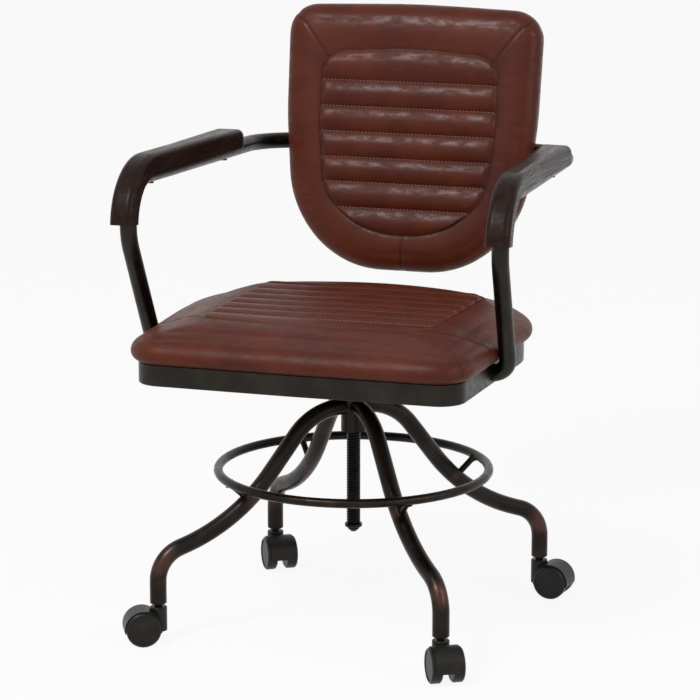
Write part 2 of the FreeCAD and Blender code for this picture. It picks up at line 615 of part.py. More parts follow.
# Screws up through the rail into each armrest.
arm_screws = []
screw_holes = []
for place in ARM_SCREW_PLACES:
    low = rail_front + along * place - upward * (ARM_TUBE / 2)
    high = rail_front + along * place + upward * (WOOD_SEAT + ARM_SCREW_BITE)
    screw = rod(low - upward * ARM_SCREW_HEAD_HIGH, low, ARM_SCREW_HEAD)
    arm_screws.append(screw.fuse(rod(low - upward * LET_IN, high, ARM_SCREW)).removeSplitter())
    screw_holes.append(rod(low - upward, high, ARM_SCREW + 2 * BOLT_FREE))
screw_room = Part.makeCompound(screw_holes)
armrest = armrest.cut(screw_room)
armrests = {"right": armrest, "left": armrest.mirror(ORIGIN, at(1, 0, 0))}
screws = Part.makeCompound(arm_screws + [s.mirror(ORIGIN, at(1, 0, 0)) for s in arm_screws])
arm_frame = arm_frame.cut(screw_room).cut(screw_room.mirror(ORIGIN, at(1, 0, 0)))

# Saddles between the rear tube and the back, each with a bolt through the tube into the board.
tilt = math.radians(BACK_TILT)
tube_up = ((rail_rear.z - BACK_FOOT[1]) * math.cos(tilt) + (rail_rear.y - BACK_FOOT[0]) * math.sin(tilt))
tube_out = ((rail_rear.z - BACK_FOOT[1]) * math.sin(tilt) - (rail_rear.y - BACK_FOOT[0]) * math.cos(tilt))
saddles = []
back_bolts = []
back_holes = []
for side in SIDES.values():
    middle = side * BACK_BOLT_X
    saddle_low = tube_out + ARM_TUBE / 2 - SADDLE_HUG
    block = Part.makeBox(SADDLE_SIZE, SADDLE_SIZE, board_rear - saddle_low,
                         at(middle - SADDLE_SIZE / 2, tube_up - SADDLE_SIZE / 2, saddle_low))
    bolt_end = at(middle, tube_up, BACK_BOLT_END)
    hole = rod(at(middle, tube_up, tube_out - ARM_TUBE), bolt_end, BOLT + 2 * BOLT_FREE)
    head_face = tube_out - ARM_TUBE / 2
    head_low = at(middle, tube_up, head_face - BACK_BOLT_HEAD_HIGH)
    bolt = rod(head_low, at(middle, tube_up, head_face), BACK_BOLT_HEAD)
    bolt = bolt.fuse(rod(at(middle, tube_up, head_face - LET_IN), bolt_end, BOLT))
    saddles.append(on_back(block.cut(hole)).cut(arm_solid))
    back_bolts.append(on_back(bolt.removeSplitter()))
    back_holes.append(on_back(hole))
back_room = Part.makeCompound(back_holes)
arm_frame = arm_frame.cut(back_room)
back_board = on_back(back_board).cut(back_room)
back_cushion = on_back(back_cushion)

# Caster, about its own swivel axis, trailing along +X.
axle_z = WHEEL / 2
hub_gap = WHEEL_APART / 2
wheel_outer = hub_gap + WHEEL_WIDE
axle_at = at(CASTER_TRAIL, 0, axle_z)
stem_top = LEG_FOOT_Z + SOCKET_LONG - SOCKET_END
stem_low = stem_top - STEM_LONG
axle_end = wheel_outer - WHEEL_FACE


def along_axle(start, end, diameter):
    """A bar on the axle's line, from one place across the caster to another."""
    return rod(axle_at + at(0, start), axle_at + at(0, end), diameter)


boss = rod(at(0, 0, HOOD_LOW_Z), at(0, 0, CASTER_TOP_Z), BOSS)
boss = boss.makeChamfer(BOSS_BEVEL, [e for e in boss.Edges if e.Closed and e.CenterOfMass.z > axle_z])
hood = along_axle(-HOOD_WIDE / 2, HOOD_WIDE / 2, HOOD_OUTER).fuse(boss)
for side in SIDES.values():
    room = along_axle(side * HOOD_WEB / 2, side * HOOD_WIDE, HOOD_OUTER - 2 * HOOD_WALL)
    hood = hood.cut(room)
below = Part.makeBox(2 * HOOD_OUTER, 2 * HOOD_OUTER, HOOD_OUTER)
below.translate(at(CASTER_TRAIL - HOOD_OUTER, -HOOD_OUTER, HOOD_LOW_Z - HOOD_OUTER))
hood = hood.cut(below)
hood = hood.cut(rod(at(0, 0, stem_low), at(0, 0, CASTER_TOP_Z), STEM + 2 * BOLT_FREE))
hood = hood.cut(along_axle(-HOOD_WEB, HOOD_WEB, AXLE + 2 * BOLT_FREE)).removeSplitter()
stem = rod(at(0, 0, stem_low), at(0, 0, stem_top), STEM)
stem = stem.makeChamfer(BOSS_BEVEL, [e for e in stem.Edges if e.Closed])
axle_half = axle_end - AXLE_FREE
axle = along_axle(-axle_half, axle_half, AXLE)


def wheel_point(across, radius):
    return axle_at + at(0, across, radius)


def wheel_profile():
    """Half section of a wheel: blind bore, tread with bevelled edges, and a raised rim round a sunk disc."""
    tread = WHEEL / 2
    bore = AXLE / 2 + RUNNING
    rim = tread - WHEEL_BEVEL
    disc = rim - RIM_WIDE
    corners = [
        (axle_end, bore),
        (hub_gap, bore),
        (hub_gap, rim),
        (hub_gap + WHEEL_BEVEL, tread),
        (wheel_outer - WHEEL_BEVEL, tread),
        (wheel_outer, rim),
        (wheel_outer, disc),
        (wheel_outer - RIM_STEP, disc),
    ]
    closing = [(wheel_outer - RIM_STEP, 0), (axle_end, 0), corners[0]]
    return Part.Face(Part.makePolygon([wheel_point(*c) for c in corners + closing]))


wheel = wheel_profile().revolve(axle_at, at(0, 1, 0), 360)
wheels = {"left": wheel.mirror(ORIGIN, at(0, 1, 0)), "right": wheel}
socket_top = at(0, 0, LEG_FOOT_Z + SOCKET_LONG)
socket = rod(at(0, 0, LEG_FOOT_Z), socket_top, LEG_TUBE - 2 * LEG_WALL - 2 * BOLT_FREE)
socket = socket.cut(rod(at(0, 0, LEG_FOOT_Z), at(0, 0, stem_top + SOCKET_END / 2), STEM + 2 * RUNNING))


def turned(shape, degrees, place=ORIGIN):
    """A copy turned about the upright axis and carried to a place."""
    copy = shape.copy()
    copy.rotate(ORIGIN, Z_AXIS, degrees)
    copy.translate(place)
    return copy


# Every piece by the name of its node.
parts = {
    "hub_tube": hub_tube,
    "lift_nut": lift_nut,
    "foot_ring": ring,
    "stop_washer": stop_washer,
    "spindle": spindle,
    "spindle_end_screw": end_screw,
    "stop_sleeve": sleeve,
    "mounting_plate": plate,
    "plate_bolts": Part.makeCompound(plate_bolts),
    "cross_bar_front": cross_bars["front"],
    "cross_bar_rear": cross_bars["rear"],
    "seat_band": seat_band,
    "seat_board": seat_board,
    "seat_cushion": seat_cushion,
    "back_cushion": back_cushion,
    "back_board": back_board,
    "back_saddles": Part.makeCompound(saddles),
    "back_bolts": Part.makeCompound(back_bolts),
    "arm_frame": arm_frame,
    "arm_end_nuts": end_nuts,
    "arm_bolts": Part.makeCompound(arm_bolts),
    "armrest_left": armrests["left"],
    "armrest_right": armrests["right"],
    "armrest_screws": screws,
}
stubs = []
for name, (direction, trail) in LEGS.items():
    leg_turn = direction + BASE_TURN
    bearing = math.radians(leg_turn)
    foot = at(LEG_FOOT_RADIUS * math.cos(bearing), LEG_FOOT_RADIUS * math.sin(bearing))
    parts["leg_" + name] = turned(leg, leg_turn)
    parts["caster_socket_" + name] = turned(socket, trail, foot)
    parts["caster_stem_" + name] = turned(stem, trail, foot)
    parts["caster_hood_" + name] = turned(hood, trail, foot)
    parts["caster_axle_" + name] = turned(axle, trail, foot)
    for side, one in wheels.items():
        parts["wheel_" + side + "_" + name] = turned(one, trail, foot)
    stubs.append(turned(stub, leg_turn))
parts["ring_stubs"] = Part.makeCompound(stubs)

os.makedirs("parts", exist_ok=True)
for name, shape in parts.items():
    shape.translate(at(0, -SPINDLE_AHEAD))
    shape.exportStep("parts/" + name + ".step")
    box = shape.BoundBox
    print(name, len(shape.Solids), shape.isValid(), round(shape.Volume),
          [round(v, 1) for v in (box.XMin, box.YMin, box.ZMin, box.XMax, box.YMax, box.ZMax)])
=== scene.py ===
import bmesh
import bpy
import numpy as np
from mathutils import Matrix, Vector


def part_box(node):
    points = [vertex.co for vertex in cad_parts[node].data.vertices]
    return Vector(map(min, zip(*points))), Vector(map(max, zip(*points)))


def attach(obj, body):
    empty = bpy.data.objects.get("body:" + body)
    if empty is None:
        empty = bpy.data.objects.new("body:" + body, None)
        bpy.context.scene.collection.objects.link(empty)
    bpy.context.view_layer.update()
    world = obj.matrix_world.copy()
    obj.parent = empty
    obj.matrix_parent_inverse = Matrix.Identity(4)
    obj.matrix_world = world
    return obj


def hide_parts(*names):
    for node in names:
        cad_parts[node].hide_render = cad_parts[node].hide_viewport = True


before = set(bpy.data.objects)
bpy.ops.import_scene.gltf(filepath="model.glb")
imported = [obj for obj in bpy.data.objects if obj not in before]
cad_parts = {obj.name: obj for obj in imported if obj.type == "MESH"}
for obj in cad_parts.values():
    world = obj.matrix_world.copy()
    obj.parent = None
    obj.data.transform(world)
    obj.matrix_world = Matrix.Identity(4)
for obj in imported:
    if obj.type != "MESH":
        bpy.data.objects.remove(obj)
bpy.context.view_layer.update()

# Legs. Four steel tubes, bent in one plane and welded round the hub, then lacquered in oil-rubbed bronze:
# a near-black brown coat that is rubbed back to copper on the outer bends and beside the welds.
MM = 0.001
SPINDLE_X, SPINDLE_Y = 0.0, -24.53 * MM
LEG_NAMES = ("front_left", "front_right", "rear_right", "rear_left")
FOOT_RADIUS = 302.5 * MM
FOOT_BEND_Z = 116 * MM
STUB_LEG_RADIUS = 163 * MM
STUB_LEG_Z = 196 * MM
BEND_RUB, BEND_WORN = 38 * MM, 0.38
WELD_RUB, WELD_WORN = 15 * MM, 0.35


def linear(code):
    """An sRGB hex colour as linear light: value / 12.92 near black, else ((value + 0.055) / 1.055) ** 2.4."""
    value = np.array([int(code[i:i + 2], 16) for i in (1, 3, 5)]) / 255
    return (*np.where(value < 0.04045, value / 12.92, ((value + 0.055) / 1.055) ** 2.4), 1.0)


def new_finish(name):
    """An empty node material and its output node."""
    finish = bpy.data.materials.new(name)
    finish.use_nodes = True
    finish.node_tree.nodes.clear()
    return finish, finish.node_tree.nodes.new("ShaderNodeOutputMaterial")


def add(finish, kind, settings):
    """Adds one node. Each setting is a field of the node or a socket by name or number: a value or a link."""
    node = finish.node_tree.nodes.new("ShaderNode" + kind)
    for key, value in settings.items():
        if isinstance(key, str) and hasattr(node, key):
            setattr(node, key, value)
        elif isinstance(value, bpy.types.NodeSocket):
            finish.node_tree.links.new(value, node.inputs[key])
        else:
            node.inputs[key].default_value = value
    return node


def grains(finish, place, size, stretch=(1, 1, 1), detail=3.0, roughness=0.5):
    """Noise whose grains are about size metres across, longer along an axis by its stretch."""
    scaled = add(finish, "Mapping", {"Vector": place, "Scale": tuple(1 / (size * s) for s in stretch)})
    settings = {"Vector": scaled.outputs[0], "Scale": 1.0, "Detail": detail, "Roughness": roughness}
    return add(finish, "TexNoise", settings).outputs["Fac"]


def between(finish, value, low, high, first=0.0, last=1.0):
    """value's range low to high, brought smoothly to first to last."""
    return add(finish, "MapRange", {"interpolation_type": "SMOOTHSTEP", "Value": value, "From Min": low,
                                    "From Max": high, "To Min": first, "To Max": last}).outputs[0]


def mixed(finish, share, first, second):
    """One colour over another by a share from 0 to 1."""
    return add(finish, "Mix", {"data_type": "RGBA", 0: share, 6: first, 7: second}).outputs[2]


def maths(finish, operation, first, second):
    """One Math node's result."""
    return add(finish, "Math", {"operation": operation, 0: first, 1: second}).outputs[0]


def rubbed_bronze(name, dark, copper, rubs, worn=0.0):
    """Oil-rubbed bronze lacquer on steel: dark, satin, with copper showing through where hands and feet rub.

    rubs lists (distance from the spindle, height, reach, strength) of the rubbed places, all round the base.
    """
    finish, out = new_finish(name)
    place = add(finish, "TexCoord", {}).outputs["Object"]
    around = add(finish, "VectorMath", {"operation": "SUBTRACT", 0: place, 1: (SPINDLE_X, SPINDLE_Y, 0.0)})
    axes = add(finish, "SeparateXYZ", {0: around.outputs[0]})
    flat = add(finish, "CombineXYZ", {0: axes.outputs[0], 1: axes.outputs[1]})
    radius = add(finish, "VectorMath", {"operation": "LENGTH", 0: flat.outputs[0]}).outputs["Value"]
    profile = add(finish, "CombineXYZ", {0: radius, 2: axes.outputs[2]}).outputs[0]
    patches = grains(finish, place, 26 * MM, detail=3.0)
    rub = between(finish, patches, 0.5, 0.75, 0.0, worn)
    for distance, height, reach, strength in rubs:
        gap = add(finish, "VectorMath", {"operation": "DISTANCE", 0: profile, 1: (distance, 0.0, height)})
        near = between(finish, gap.outputs["Value"], reach, 0.2 * reach, 0.0, strength)
        broken = maths(finish, "MULTIPLY", near, between(finish, patches, 0.35, 0.65, 0.0, 1.0))
        rub = maths(finish, "MAXIMUM", rub, broken)
    mottle = grains(finish, place, 45 * MM)
    base = mixed(finish, between(finish, mottle, 0.35, 0.7), linear(dark[0]), linear(dark[1]))
    colour = mixed(finish, rub, base, linear(copper))
    gloss = between(finish, grains(finish, place, 9 * MM, detail=4.0), 0.3, 0.7, 0.3, 0.42)
    peel = grains(finish, place, 2.6 * MM, detail=2.0)
    bump = add(finish, "Bump", {"Strength": 0.12, "Distance": 0.3 * MM, "Height": peel})
    shader = add(finish, "BsdfPrincipled", {"Base Color": colour, "Roughness": gloss, "Metallic": 1.0,
                                            "Normal": bump.outputs[0]})
    finish.node_tree.links.new(shader.outputs[0], out.inputs[0])
    return finish


leg_bronze = rubbed_bronze("oil_rubbed_bronze_legs", ("#272321", "#312c29"), "#6e4c42",
                           [(FOOT_RADIUS, FOOT_BEND_Z, BEND_RUB, BEND_WORN),
                            (STUB_LEG_RADIUS, STUB_LEG_Z, WELD_RUB, WELD_WORN)])
plain_bronze = rubbed_bronze("oil_rubbed_bronze", ("#24211f", "#2e2a27"), "#4a3b34", [], 0.2)


def coat(names, finish):
    """Gives CAD nodes a finish."""
    for name in names:
        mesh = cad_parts[name].data
        mesh.materials.clear()
        mesh.materials.append(finish)


coat(["leg_" + name for name in LEG_NAMES], leg_bronze)

# Hub. A thick steel tube that the legs are welded to, with the lift nut pressed into it. Turned steel,
# lacquered outside; the nut keeps its oiled, blackened bore.
coat(["hub_tube"], plain_bronze)


def dark_steel(name, tint, shine):
    """Blackened steel, turned and oiled: near-black metal with fine rings from the tool."""
    finish, out = new_finish(name)
    place = add(finish, "TexCoord", {}).outputs["Object"]
    rings = grains(finish, place, 0.9 * MM, stretch=(30, 30, 1), detail=2.0)
    stain = between(finish, grains(finish, place, 12 * MM, detail=4.0), 0.35, 0.7)
    colour = mixed(finish, stain, linear(tint[0]), linear(tint[1]))
    bump = add(finish, "Bump", {"Strength": 0.15, "Distance": 0.1 * MM, "Height": rings})
    gloss = between(finish, stain, 0.0, 1.0, shine, shine + 0.12)
    shader = add(finish, "BsdfPrincipled", {"Base Color": colour, "Roughness": gloss, "Metallic": 1.0,
                                            "Normal": bump.outputs[0]})
    finish.node_tree.links.new(shader.outputs[0], out.inputs[0])
    return finish


black_steel = dark_steel("blackened_steel", ("#1b1a19", "#2a2826"), 0.32)
coat(["lift_nut"], black_steel)

# Foot ring. A steel rod rolled to a circle and welded to the legs by four short stubs. Feet rub its upper
# front to copper; the welds stand round the stubs' ends as small fillets.
RING_RADIUS = 195.7 * MM
RING_Z = 225.3 * MM
RING_ROD = 13 * MM
STUB_ROD = 9 * MM
WELD_LONG = 7 * MM
WELD_PROUD = 3.2 * MM
BASE_TURN = np.radians(-4.2)
LEG_BEARINGS = np.radians((225.0, 315.0, 45.0, 135.0)) + BASE_TURN

ring_bronze = rubbed_bronze("oil_rubbed_bronze_ring", ("#221f1c", "#2d2926"), "#5c463c",
                            [(RING_RADIUS, RING_Z + RING_ROD, 10 * MM, 0.35)], 0.15)
coat(["foot_ring", "ring_stubs"], ring_bronze)


def quads(rows, columns, around=True, first=0):
    """Vertex numbers of the quads between a grid's rows; around joins the last column to the first."""
    index = first + np.arange(rows * columns).reshape(rows, columns)
    ahead = np.roll(index, -1, 1)
    if not around:
        index, ahead = index[:, :-1], index[:, 1:]
    return np.stack([index[:-1], ahead[:-1], ahead[1:], index[1:]], -1).reshape(-1, 4).tolist()


def new_piece(name, points, faces, finish, body, slot):
    """A smooth-shaded mesh whose faces point outwards, riding on its body, with its finish; its slot argument
    is not used.
    """
    mesh = bpy.data.meshes.new(name)
    mesh.from_pydata(np.asarray(points).reshape(-1, 3).tolist(), [], faces)
    shell = bmesh.new()
    shell.from_mesh(mesh)
    bmesh.ops.recalc_face_normals(shell, faces=shell.faces)
    shell.to_mesh(mesh)
    shell.free()
    mesh.polygons.foreach_set("use_smooth", np.ones(len(mesh.polygons), bool))
    mesh.materials.append(finish)
    piece = bpy.data.objects.new(name, mesh)
    bpy.context.scene.collection.objects.link(piece)
    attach(piece, body)
    return piece


def turned_form(start, along, reach, radius, columns=24):
    """A closed surface of revolution: circles of the given radii, reach metres along an axis from start."""
    along = along / np.linalg.norm(along)
    aside = np.cross(along, (0.0, 0.0, 1.0) if abs(along[2]) < 0.9 else (1.0, 0.0, 0.0))
    aside = aside / np.linalg.norm(aside)
    up = np.cross(along, aside)
    turn = np.linspace(0, 2 * np.pi, columns, endpoint=False)[:, None]
    spoke = aside * np.cos(turn) + up * np.sin(turn)
    points = start + along * np.asarray(reach)[:, None, None] + spoke * np.asarray(radius)[:, None, None]
    rows = len(points)
    caps = [list(range(columns)), list(range((rows - 1) * columns, rows * columns))]
    return points, quads(rows, columns) + caps


def together(forms):
    """Several (points, faces) as one."""
    points, faces, first = [], [], 0
    for form_points, form_faces in forms:
        form_points = np.asarray(form_points).reshape(-1, 3)
        points.append(form_points)
        faces += [[first + i for i in face] for face in form_faces]
        first += len(form_points)
    return np.concatenate(points), faces


stub_welds = []
share = np.linspace(0, 1, 9)
for bearing in LEG_BEARINGS:
    out = np.array((np.cos(bearing), np.sin(bearing), 0.0))
    axis = np.array((SPINDLE_X, SPINDLE_Y, 0.0))
    low = axis + out * STUB_LEG_RADIUS + np.array((0, 0, STUB_LEG_Z))
    high = axis + out * RING_RADIUS + np.array((0, 0, RING_Z))
    way = (high - low) / np.linalg.norm(high - low)
    for end, inward, start in ((low, way, -2.0), (high, -way, 4.5)):
        flare = STUB_ROD / 2 + WELD_PROUD * (1 - share) ** 2 + 0.05 * MM
        stub_welds.append(turned_form(end + inward * start * MM, inward, share * WELD_LONG, flare))
new_piece("ring_stub_welds", *together(stub_welds), ring_bronze, "base", "frame_steel")

# Lift screw. A 20 mm steel spindle with a coarse round-topped thread of 4 mm pitch, which the hub's nut
# carries; a stop washer and a low cap screw close its lower end.
THREAD_PITCH = 4 * MM
THREAD_CREST = 10 * MM
THREAD_DEEP = 0.9 * MM
THREAD_LOW = 144 * MM
THREAD_ROWS_PER_TURN = 8
THREAD_COLUMNS = 32
RUN_IN = 2 * MM
STUD = 6.5 * MM
spindle_low, spindle_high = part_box("spindle")
rows = int((spindle_high.z - THREAD_LOW) / THREAD_PITCH * THREAD_ROWS_PER_TURN)
height = np.linspace(THREAD_LOW, spindle_high.z, rows)[:, None]
turn = np.linspace(0, 2 * np.pi, THREAD_COLUMNS, endpoint=False)[None, :]
phase = height / THREAD_PITCH - turn / (2 * np.pi)
wave = np.clip(0.2 + 0.8 * np.cos(2 * np.pi * phase), 0, 1)
run_in = np.clip((height - THREAD_LOW) / RUN_IN, 0, 1)
radius = THREAD_CREST - THREAD_DEEP * np.where(run_in < 1, np.maximum(1 - run_in, wave), wave)
thread = np.stack([SPINDLE_X + radius * np.cos(turn), SPINDLE_Y + radius * np.sin(turn),
                   height + 0 * turn], -1)
stud = thread[:1] * 0 + np.stack([SPINDLE_X + STUD * np.cos(turn), SPINDLE_Y + STUD * np.sin(turn),
                                  0 * turn + THREAD_LOW], -1)
stud_foot = stud * (1, 1, 0) + np.array((0, 0, spindle_low.z))
spindle_points = np.concatenate([stud_foot, stud, thread])
caps = [list(range(THREAD_COLUMNS)), list(range((rows + 1) * THREAD_COLUMNS, (rows + 2) * THREAD_COLUMNS))]
screw_steel = dark_steel("oiled_screw_steel", ("#151414", "#211f1d"), 0.34)
spindle = new_piece("spindle_thread", spindle_points, quads(rows + 2, THREAD_COLUMNS) + caps, screw_steel,
                    "seat", "screw_steel")
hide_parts("spindle")
coat(["stop_washer", "spindle_end_screw"], black_steel)

# Seat irons. A mounting plate on its sleeve, two flat oblong tubes across, and the band that is bent
# round them; all lacquered like the legs. Hexagon bolts go up into the board.
band_bronze = rubbed_bronze("oil_rubbed_bronze_band", ("#2d2a27", "#36322e"), "#473d37", [], 0.2)
coat(["stop_sleeve", "mounting_plate", "cross_bar_front", "cross_bar_rear"], plain_bronze)
coat(["seat_band"], band_bronze)
coat(["plate_bolts"], black_steel)

# Seat board. Birch plywood inside the band, sanded and left bare underneath: pale veneer with long grain.
board_finish, board_out = new_finish("birch_plywood")
board_place = add(board_finish, "TexCoord", {}).outputs["Object"]
board_grain = grains(board_finish, board_place, 2.5 * MM, stretch=(25, 1, 1), detail=5.0)
board_colour = mixed(board_finish, between(board_finish, board_grain, 0.3, 0.7), linear("#8f6f4e"),
                     linear("#a98a66"))
board_bump = add(board_finish, "Bump", {"Strength": 0.2, "Distance": 0.2 * MM, "Height": board_grain})
board_shader = add(board_finish, "BsdfPrincipled", {"Base Color": board_colour, "Roughness": 0.65,
                                                    "Normal": board_bump.outputs[0]})
board_finish.node_tree.links.new(board_shader.outputs[0], board_out.inputs[0])
coat(["seat_board"], board_finish)

# Seat cushion. Foam under waxed, pull-up leather: a front and a rear border sewn round eight channels, its
# wall rolled under inside the band and pressed in by the arm frame's posts. Outline and wall are the
# solid's. The panel is longer and domed, as the photograph shows it, and the sides dip beside it.
SEAT_HALF = [(0, -282, 900), (233, -278.5, 38), (247, 47, 112), (168, 155, 194), (0, 207.5, 260)]
PANEL_HALF = [(0, -213, 800), (166, -198, 30), (172, 96, 30), (0, 106, 800)]
SEAT_SEAMS = (-154.5, -114.4, -74.2, -34.0, 6.2, 46.4, 86.5)
SEAT_AHEAD = 24.53
BAND_TOP = 425.0
SEAT_CROWN = 465.5
PANEL_ENDS = (-198, 96)
PANEL_RISE = (12.5, 6.0)
SIDE_DIP = 0.2
DIP_PLACE, DIP_REACH = (235, 20), (40, 60)
SEAT_SHINE = 0.43
SEAT_PRESSURE, SEAT_SWELL = 1.6, 3 * MM
WALL_TOP = 458.5
WALL_WIDEST = 439.0
SEAT_BULGE = 12.0
SEAT_TUCK = -3.0
WALL_EDGE = -10.0
CROWN_EDGE = -34.0
SEAT_PUFF = 4.5
SEAT_ARCH = 2.5
PANEL_CORNERS = ((157, -189), (163, 87))
SEAT_CORNER = (238, -160)
WALL_SEAM = (228, -268)
FLAT_ROWS = 9
SEAM_DEEP = 1.3
POST_TOP, POST_FOOT = (271, -233.4, 666), (260, -113, 408)
POST_ROUND = 12.0
POST_PRESS = 1.2
STITCH_PITCH = 5.6
STITCH_LONG = 3.4
STITCH_WIDE = 1.1
STITCH_LIFT = 1.1


def trace(half, steps=24):
    """A closed outline with rounded corners as points, outward normals and lengths along it.

    half lists (x, y, round) of the corners on the +X side, and the -X side mirrors them. Each round is an
    arc from tangent point to tangent point, swung about its centre; the path starts at x = 0 of the first.
    """
    corners = np.array(list(half) + [(-x, y, r) for x, y, r in half[::-1] if x], float)
    corner, size = corners[:, :2], corners[:, 2:]
    back, ahead = np.roll(corner, 1, 0) - corner, np.roll(corner, -1, 0) - corner
    back /= np.linalg.norm(back, axis=1, keepdims=True)
    ahead /= np.linalg.norm(ahead, axis=1, keepdims=True)
    half_angle = np.arccos(np.sum(back * ahead, 1, keepdims=True)) / 2
    inward = (back + ahead) / np.linalg.norm(back + ahead, axis=1, keepdims=True)
    centre = corner + inward * size / np.sin(half_angle)
    entry = (corner + back * size / np.tan(half_angle) - centre)[:, None]
    leave = (corner + ahead * size / np.tan(half_angle) - centre)[:, None]
    swing = (np.pi - 2 * half_angle)[:, None]
    part = np.linspace(0, 1, steps + 1)[None, :, None]
    spoke = (np.sin((1 - part) * swing) * entry + np.sin(part * swing) * leave) / np.sin(swing)
    points = (centre[:, None] + spoke).reshape(-1, 2)
    normals = (spoke / size[:, None]).reshape(-1, 2)
    points, normals = np.roll(points, -steps // 2, 0), np.roll(normals, -steps // 2, 0)
    points, normals = np.vstack([points, points[:1]]), np.vstack([normals, normals[:1]])
    length = np.concatenate([[0], np.cumsum(np.linalg.norm(np.diff(points, axis=0), axis=1))])
    return points, normals, length


def walk(traced, where):
    """Points and outward normals of a traced outline at lengths along it, counted round and round."""
    points, normals, length = traced
    where = np.mod(where, length[-1])
    place = np.stack([np.interp(where, length, points[:, i]) for i in (0, 1)], -1)
    normal = np.stack([np.interp(where, length, normals[:, i]) for i in (0, 1)], -1)
    return place, normal / np.linalg.norm(normal, axis=-1, keepdims=True)


def length_at(traced, x, y):
    """The length along a traced outline of its point nearest to (x, y)."""
    length = np.linspace(0, traced[2][-1], 4000, endpoint=False)
    place, _ = walk(traced, length)
    return length[np.argmin(np.hypot(place[:, 0] - x, place[:, 1] - y))]


def facing(inner, outer, where):
    """The lengths along an outer outline that lie straight out from lengths along an inner one."""
    place, normal = walk(inner, where)
    length = np.linspace(0, outer[2][-1], 4000, endpoint=False)
    way = walk(outer, length)[0][None] - place[:, None]
    off = np.abs(way[..., 0] * normal[:, None, 1] - way[..., 1] * normal[:, None, 0])
    off[np.sum(way * normal[:, None], -1) < 0] = np.inf
    return length[np.argmin(off, 1)]


def matched(inner, outer, corner, outer_corner, where):
    """Where a border's columns meet the outer outline: corner on corner, and the rest nearly straight out."""
    half_way, outer_half = inner[2][-1] / 2, outer[2][-1] / 2
    steps = np.linspace(corner, half_way, 9)[2:-1]
    keys = np.concatenate([[0, corner], steps, [half_way]])
    met = np.concatenate([[0, outer_corner], facing(inner, outer, steps), [outer_half]])
    keys = np.concatenate([[-corner], keys, 2 * half_way - keys[-2:0:-1]])
    met = np.concatenate([[-outer_corner], met, 2 * outer_half - met[-2:0:-1]])
    return np.interp(where, keys, met)


def crowded(count, crowd):
    """Shares from 0 to 1, closer together at both ends: half a cosine wave mixed with even steps."""
    even = np.linspace(0, 1, count)
    return (1 - crowd) * even + crowd * (0.5 - 0.5 * np.cos(np.pi * even))


def panel_grid(traced, corners, seams, rows_each, across):
    """A panel of channels as a grid: straight seams, and rows between them that follow the outline.

    corners are the lengths of the first side's right corner and the last side's right corner. Between two
    seams a row's ends run along the outline and its inside is their even mean, bent like the nearer edge.
    Returns the grid, each row's share of its channel, and the rim's lengths in the order of rim_of.
    """
    first_corner, last_corner = corners
    whole = traced[2][-1]
    right = np.linspace(first_corner, last_corner, 800)
    side, _ = walk(traced, right)
    sign = 1 if side[-1, 1] > side[0, 1] else -1
    stops = np.interp(sign * np.array(seams, float), sign * side[:, 1], right)
    stops = np.concatenate([[first_corner], stops, [last_corner]])
    share = crowded(across, 0.35) * 2 - 1
    first_edge = share * first_corner
    last_edge = whole / 2 - share * (whole / 2 - last_corner)
    low, _ = walk(traced, first_edge)
    rows, seam_share, ends = [], [], []
    for i, (start, stop) in enumerate(zip(stops, stops[1:])):
        last = i == len(stops) - 2
        steps = crowded(rows_each + 1, 0.75)[:rows_each + last, None]
        right_end, _ = walk(traced, start + (stop - start) * steps[:, 0])
        seam_end, _ = walk(traced, stop)
        high = np.stack([share * seam_end[0], 0 * share + seam_end[1]], -1)
        high = walk(traced, last_edge)[0] if last else high
        body = np.stack([share[None] * right_end[:, :1], 0 * share[None] + right_end[:, 1:]], -1)
        flat_low = np.stack([share * low[-1, 0], 0 * share + low[-1, 1]], -1)
        flat_high = np.stack([share * high[-1, 0], 0 * share + high[-1, 1]], -1)
        bend = steps[:, :, None]
        rows.append(body + (low - flat_low)[None] * (1 - bend) + (high - flat_high)[None] * bend)
        seam_share.append(steps[:, 0])
        ends.append(start + (stop - start) * steps[:, 0])
        low = high
    ends = np.concatenate(ends)
    around = np.concatenate([first_edge[:-1], ends[:-1], last_edge[:0:-1], whole - ends[:0:-1]])
    return np.concatenate(rows), np.concatenate(seam_share), around


def rim_of(grid):
    """A grid's outer vertices in order: first row, right ends, last row back, left ends back."""
    index = np.arange(grid.shape[0] * grid.shape[1]).reshape(grid.shape[:2])
    return np.concatenate([index[0, :-1], index[:-1, -1], index[-1, :0:-1], index[:0:-1, 0]])


def rolls(grid, share, height):
    """A panel's points with its channels risen: height times a power of a half sine wave across each one,
    run down at both ends over a twelfth of the width."""
    along = np.clip((1 - np.abs(np.linspace(-1, 1, grid.shape[1]))[None]) / 0.08, 0, 1) ** 0.5
    rise = height * np.sin(np.pi * share[:, None]) ** 0.8 * along
    return np.concatenate([grid, rise[:, :, None]], -1)


def border_rows(inner, outer, outward, levels, flat_rows, crown_edge, crown, puff, rise=0.0):
    """Rows of a cushion's border, from the panel's seam over the crown and down the wall.

    The first rows run evenly from the seam, rise above the crown, down to crown_edge inside the outline,
    raised by a low arch of height puff; the rest follow (offset, height) levels out from the outline.
    """
    part = crowded(flat_rows, 0.6)[1:, None, None]
    edge = outer + outward * crown_edge
    flat = inner * (1 - part) + edge * part
    arch = crown + rise * (1 - part[:, :, 0]) + puff * np.sin(np.pi * part[:, :, 0]) ** 0.7
    top = np.concatenate([flat, np.broadcast_to(arch[:, :, None], (*flat.shape[:2], 1))], -1)
    wall = outer[None] + outward[None] * levels[:, :1, None]
    wall = np.concatenate([wall, np.broadcast_to(levels[:, 1:, None], (*wall.shape[:2], 1))], -1)
    return np.concatenate([top, wall])


